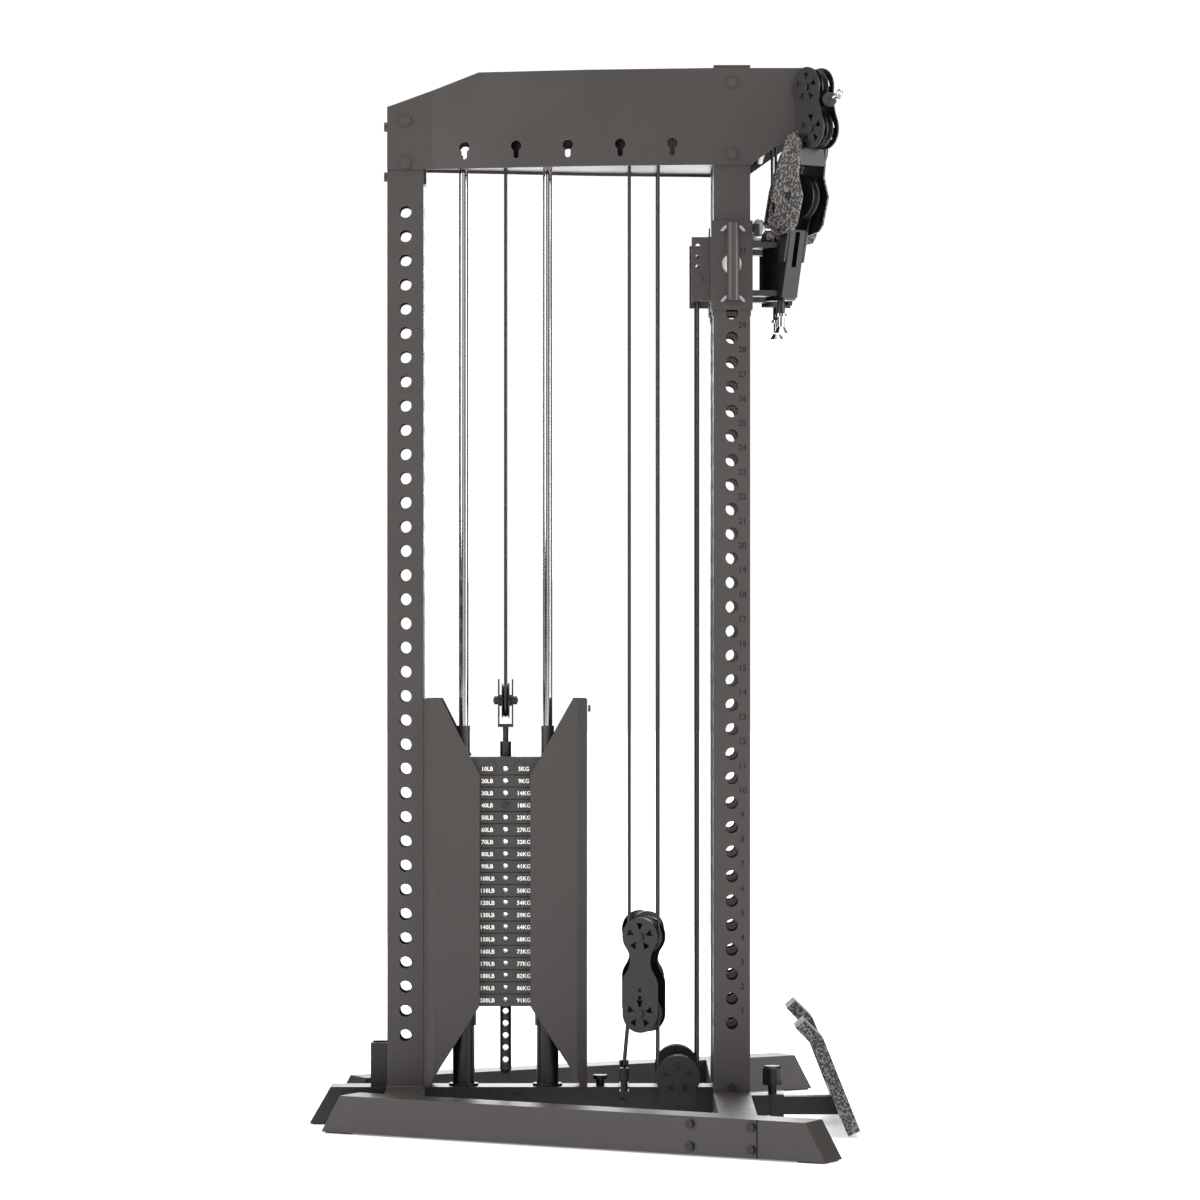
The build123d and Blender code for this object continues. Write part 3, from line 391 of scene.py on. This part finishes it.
for name, body, picked in (("lifted_labels", "stack", range(RESTING, PLATES)),
                           ("resting_labels", "frame", range(0, RESTING))):
    lines = []
    for n in picked:
        pounds = 10 * (PLATES - n)
        z = first + PLATE_PITCH * n
        for facing, y in ((-1, low.y - LABEL_LIFT), (1, high.y + LABEL_LIFT)):
            left, right = LABEL_REAR, LABEL_FRONT
            if facing > 0:
                left, right = right, left
            kilograms = round(pounds * KG_PER_POUND)
            lines.append((f"{pounds}LB", LABEL_HEIGHT, Vector((left, y, z)), facing))
            lines.append((f"{kilograms}KG", LABEL_HEIGHT, Vector((right, y, z)), facing))
    written(lines, name, white_print, body)

# ---- Nylon pulleys ----
# Injection-moulded glass-filled nylon on sealed bearings: satin black, in places a
# little paler and duller from use.
material, tree, output, place = blank("moulded_black_nylon")
grain = add(tree, "ShaderNodeTexNoise", {"Vector": place, "Scale": 420.0, "Detail": 3.0})
rub = add(tree, "ShaderNodeTexNoise", {"Vector": place, "Scale": 30.0, "Detail": 4.0})
tone = add(tree, "ShaderNodeMix", {0: rub.outputs["Fac"], 6: linear("#0a0a0a"),
                                   7: linear("#191818")}, data_type="RGBA")
gloss = add(tree, "ShaderNodeMapRange", {"Value": rub.outputs["Fac"], "To Min": 0.28,
                                         "To Max": 0.45})
bump = add(tree, "ShaderNodeBump", {"Height": grain.outputs["Fac"], "Strength": 0.15,
                                    "Distance": 0.0002})
nylon = add(tree, "ShaderNodeBsdfPrincipled", {"Base Color": tone.outputs[2],
                                               "Roughness": gloss.outputs[0],
                                               "Normal": bump.outputs[0]})
tree.links.new(nylon.outputs[0], output.inputs["Surface"])
black_nylon = material
BALL_RADIUS = 0.015
BALL_Z = 2.128
dress("top_pulleys", black_nylon)
dress("stack_pulley", black_nylon)
dress("foot_pin", black_nylon)
for side, sign in SIDES:
    for name in ("arm_pulley", "head_pulley_low", "head_pulley_high", "block_pulley_high",
                 "block_pulley_low", "low_pulley"):
        dress(f"{name}_{side}", black_nylon)
    dress(f"cable_stop_{side}", black_rubber)
    low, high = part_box(f"cable_stop_{side}")
    ball = Vector((low.x + BALL_RADIUS,
                   sign * (min(abs(low.y), abs(high.y)) + BALL_RADIUS), BALL_Z))
    dress_part(f"cable_stop_{side}", chrome,
               lambda spot: (spot - ball).length > BALL_RADIUS + 0.0003)

# ---- Hammertone arms and foot plates ----
# Laser-cut steel with a two-tone textured coat: dark flecks of a few millimetres in a
# pale grey ground, rough to the touch.
material, tree, output, place = blank("speckled_hammertone_coat")
warp = add(tree, "ShaderNodeTexNoise", {"Vector": place, "Scale": 120.0, "Detail": 2.0})
bent = add(tree, "ShaderNodeVectorMath", {0: warp.outputs["Color"], 3: 0.006}, operation="SCALE")
moved = add(tree, "ShaderNodeVectorMath", {0: place, 1: bent.outputs[0]}, operation="ADD")
cells = add(tree, "ShaderNodeTexVoronoi", {"Vector": moved.outputs[0], "Scale": 190.0})
mask = add(tree, "ShaderNodeMapRange", {"Value": cells.outputs["Distance"], "From Min": 0.47,
                                        "From Max": 0.68})
tone = add(tree, "ShaderNodeMix", {0: mask.outputs[0], 6: linear("#1b1918"),
                                   7: linear("#6b6764")}, data_type="RGBA")
bump = add(tree, "ShaderNodeBump", {"Height": cells.outputs["Distance"], "Strength": 0.6,
                                    "Distance": 0.0008})
skin = add(tree, "ShaderNodeBsdfPrincipled", {"Base Color": tone.outputs[2], "Roughness": 0.45,
                                              "Normal": bump.outputs[0]})
tree.links.new(skin.outputs[0], output.inputs["Surface"])
hammertone = material
ARM_YAW = math.radians(52)
SWIVEL_X = 0.4045
UPRIGHT_X, UPRIGHT_Y = 0.312, 0.106
ARM_INSIDE = 0.0332
for side, sign in SIDES:
    dress(f"arm_{side}", hammertone)
    swivel = Vector((SWIVEL_X, sign * UPRIGHT_Y, 0))
    across = Vector((math.sin(ARM_YAW), -sign * math.cos(ARM_YAW), 0))
    dress_part(f"arm_{side}", black_powder_coat,
               lambda spot: abs((spot - swivel).dot(across)) < ARM_INSIDE)

# The foot plate's two pads have the same speckled coat, and its slider is plain black.
SLIDER_HALF = 0.021
SLIDER_END = 0.54
dress("foot_plate", hammertone)
dress_part("foot_plate", black_powder_coat,
           lambda spot: abs(spot.y) < SLIDER_HALF and spot.x < SLIDER_END)

# The trolley is charcoal like the frame. It has its own number, for the hole that it hides.
TROLLEY_NUMBER_X, TROLLEY_NUMBER_Z = 0.3345, 1.824
TROLLEY_FACE = 0.1493
for side, sign in SIDES:
    dress(f"trolley_{side}", charcoal_powder_coat)
    middle = Vector((TROLLEY_NUMBER_X, sign * TROLLEY_FACE, TROLLEY_NUMBER_Z))
    # The number is painted shade for a laser cut, as on the uprights.
    written([("31", NUMBER_HEIGHT, middle, sign)], f"trolley_number_{side}",
            cut_shade_and_seam_dark, f"trolley_{side}")

# A saw-cut seam runs down each foot's outer face, where the welded front length begins.
FOOT_SPLAY = math.radians(28.56)
FOOT_REAR_X, FOOT_REAR_Y = -0.5365, 0.194
SEAM_X, SEAM_Z = 0.3465, 0.0411
SEAM_SIZE = (0.0034, 0.001, 0.0758)
seam_y = FOOT_REAR_Y + (SEAM_X - FOOT_REAR_X) * math.tan(FOOT_SPLAY)
for side, sign in SIDES:
    bm = bmesh.new()
    turned = Matrix.Rotation(sign * FOOT_SPLAY, 4, "Z")
    place_it = (Matrix.Translation((SEAM_X, sign * seam_y, SEAM_Z)) @ turned
                @ Matrix.Diagonal((*SEAM_SIZE, 1)))
    bmesh.ops.create_cube(bm, size=1, matrix=place_it)
    finished(f"foot_seam_{side}", bm, cut_shade_and_seam_dark, "frame", smooth=False)

# Liners between each trolley and its upright: a ring of cream acetal behind the window
# round the lock pin, and charcoal strips that stick out a little below the sleeve.
material, tree, output, place = blank("cream_acetal")
cloud = add(tree, "ShaderNodeTexNoise", {"Vector": place, "Scale": 45.0, "Detail": 4.0})
tone = add(tree, "ShaderNodeMix", {0: cloud.outputs["Fac"], 6: linear("#e6e1d6"),
                                   7: linear("#f6f3ea")}, data_type="RGBA")
gloss = add(tree, "ShaderNodeMapRange", {"Value": cloud.outputs["Fac"], "To Min": 0.3,
                                         "To Max": 0.5})
acetal = add(tree, "ShaderNodeBsdfPrincipled", {"Base Color": tone.outputs[2],
                                                "Roughness": gloss.outputs[0],
                                                "Subsurface Weight": 0.1})
tree.links.new(acetal.outputs[0], output.inputs["Surface"])
cream_acetal = material
WINDOW_Z = 1.7968
RING_RADII = (0.0104, 0.0225)
RING_DEPTH = 0.0014
RING_Y = 0.1451 - RING_DEPTH
STRIP_X = (0.2728, 0.3512)
STRIP_SIZE = (0.0016, 0.06, 0.144)
STRIP_RISE = 0.06
for side, sign in SIDES:
    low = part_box(f"trolley_{side}")[0]
    bm = bmesh.new()
    ends = [bm.verts.new((radius, 0, 0)) for radius in RING_RADII]
    edge = bm.edges.new(ends)
    bmesh.ops.spin(bm, geom=[edge, *edge.verts], cent=(0, 0, 0), axis=(0, 0, 1), steps=48,
                   angle=math.tau, use_merge=True)
    skin = bmesh.ops.extrude_face_region(bm, geom=bm.faces[:])["geom"]
    bmesh.ops.translate(bm, verts=[v for v in skin if isinstance(v, bmesh.types.BMVert)],
                        vec=(0, 0, RING_DEPTH))
    bmesh.ops.recalc_face_normals(bm, faces=bm.faces)
    turned = Matrix.Rotation(math.radians(90), 4, "X")
    place_it = Matrix.Translation((UPRIGHT_X, sign * RING_Y, WINDOW_Z)) @ turned
    bmesh.ops.transform(bm, matrix=place_it, verts=bm.verts)
    finished(f"liner_ring_{side}", bm, cream_acetal, f"trolley_{side}", smooth=False)
    bm = bmesh.new()
    for x in STRIP_X:
        place_it = (Matrix.Translation((x, sign * UPRIGHT_Y, low.z + STRIP_RISE))
                    @ Matrix.Diagonal((*STRIP_SIZE, 1)))
        bmesh.ops.create_cube(bm, size=1, matrix=place_it)
    bmesh.ops.bevel(bm, geom=bm.edges[:], offset=0.0004, segments=1, profile=0.5,
                    affect="EDGES", material=-1)
    finished(f"liner_strips_{side}", bm, charcoal_powder_coat, f"trolley_{side}", smooth=False)

# ---- Selector stem and pin ----
# Turned steel with a black oxide film, lightly oiled and a little paler where it is thin.
material, tree, output, place = blank("black_oxide_steel")
film = add(tree, "ShaderNodeTexNoise", {"Vector": place, "Scale": 220.0, "Detail": 4.0})
tone = add(tree, "ShaderNodeMix", {0: film.outputs["Fac"], 6: linear("#262524"),
                                   7: linear("#4a4846")}, data_type="RGBA")
gloss = add(tree, "ShaderNodeMapRange", {"Value": film.outputs["Fac"], "To Min": 0.25,
                                         "To Max": 0.5})
steel = add(tree, "ShaderNodeBsdfPrincipled", {"Base Color": tone.outputs[2], "Metallic": 0.85,
                                               "Roughness": gloss.outputs[0]})
tree.links.new(steel.outputs[0], output.inputs["Surface"])
black_oxide = material
dress("selector_stem", black_oxide)
dress("selector_pin", black_oxide)

# ---- Cables ----
# 6 mm wire rope in a smooth black nylon jacket. Each run that a moving part pays out or
# takes up is its own piece, cut from the CAD cable and split into short rings.
material, tree, output, place = blank("black_nylon_cable_jacket")
strands = add(tree, "ShaderNodeTexWave", {"Vector": place, "Scale": 90.0, "Distortion": 1.0},
              bands_direction="DIAGONAL")
smut = add(tree, "ShaderNodeTexNoise", {"Vector": place, "Scale": 40.0, "Detail": 3.0})
tone = add(tree, "ShaderNodeMix", {0: smut.outputs["Fac"], 6: linear("#0c0c0c"),
                                   7: linear("#1c1b1b")}, data_type="RGBA")
bump = add(tree, "ShaderNodeBump", {"Height": strands.outputs["Fac"], "Strength": 0.1,
                                    "Distance": 0.0003})
jacket = add(tree, "ShaderNodeBsdfPrincipled", {"Base Color": tone.outputs[2], "Roughness": 0.3,
                                                "Normal": bump.outputs[0]})
tree.links.new(jacket.outputs[0], output.inputs["Surface"])
cable_jacket = material


def cut_cable(name, node, box, rings):
    """The part of a CAD cable inside a box, with rings along Z for bending."""
    bm = bmesh.new()
    bm.from_mesh(nodes[node].data)
    bmesh.ops.remove_doubles(bm, verts=bm.verts, dist=1e-5)
    for axis, (low, high) in enumerate(box):
        for value, sign in ((low, -1), (high, 1)):
            if value is None:
                continue
            spot, normal = Vector((0, 0, 0)), Vector((0, 0, 0))
            spot[axis], normal[axis] = value, sign
            parts = bm.verts[:] + bm.edges[:] + bm.faces[:]
            bmesh.ops.bisect_plane(bm, geom=parts, plane_co=spot, plane_no=normal,
                                   clear_outer=True)
    bottom, top = box[2]
    for n in range(1, rings):
        z = bottom + (top - bottom) * n / rings
        parts = bm.verts[:] + bm.edges[:] + bm.faces[:]
        bmesh.ops.bisect_plane(bm, geom=parts, plane_co=(0, 0, z), plane_no=(0, 0, 1))
    return finished(name, bm, cable_jacket, None)


TOP_RUN = 2.0606
LOW_AXLE = 0.1085
BLOCK_X, BLOCK_MIDDLE = 0.13, 0.32
for side, sign in SIDES:
    node = f"side_cable_{side}"
    top = cut_cable(f"cable_top_run_{side}", node, ((None, None), (None, None), (TOP_RUN, 2.2)), 1)
    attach(top, "frame")
    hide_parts(node)
    under = cut_cable(f"cable_under_low_pulley_{side}", node,
                      ((None, None), (None, None), (0.0, LOW_AXLE)), 1)
    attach(under, "frame")
    arm_run = cut_cable(f"cable_to_arm_{side}", node,
                        ((0.39, None), (None, None), (1.8, TOP_RUN)), 12)
    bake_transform(arm_run)
    loop = cut_cable(f"cable_to_block_{side}", node,
                     ((None, 0.2), (None, None), (BLOCK_MIDDLE, TOP_RUN)), 40)
    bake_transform(loop)
    lower = cut_cable(f"cable_below_block_{side}", node,
                      ((None, 0.2), (None, None), (LOW_AXLE, BLOCK_MIDDLE)), 14)
    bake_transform(lower)
    back = cut_cable(f"cable_to_trolley_{side}", node,
                     ((0.22, 0.3), (None, None), (LOW_AXLE, 1.75)), 40)
    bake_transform(back)
stack_run = cut_cable("cable_to_stack", "stack_cable",
                      ((None, None), (None, None), (0.8, 2.07)), 40)
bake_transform(stack_run)
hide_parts("stack_cable")
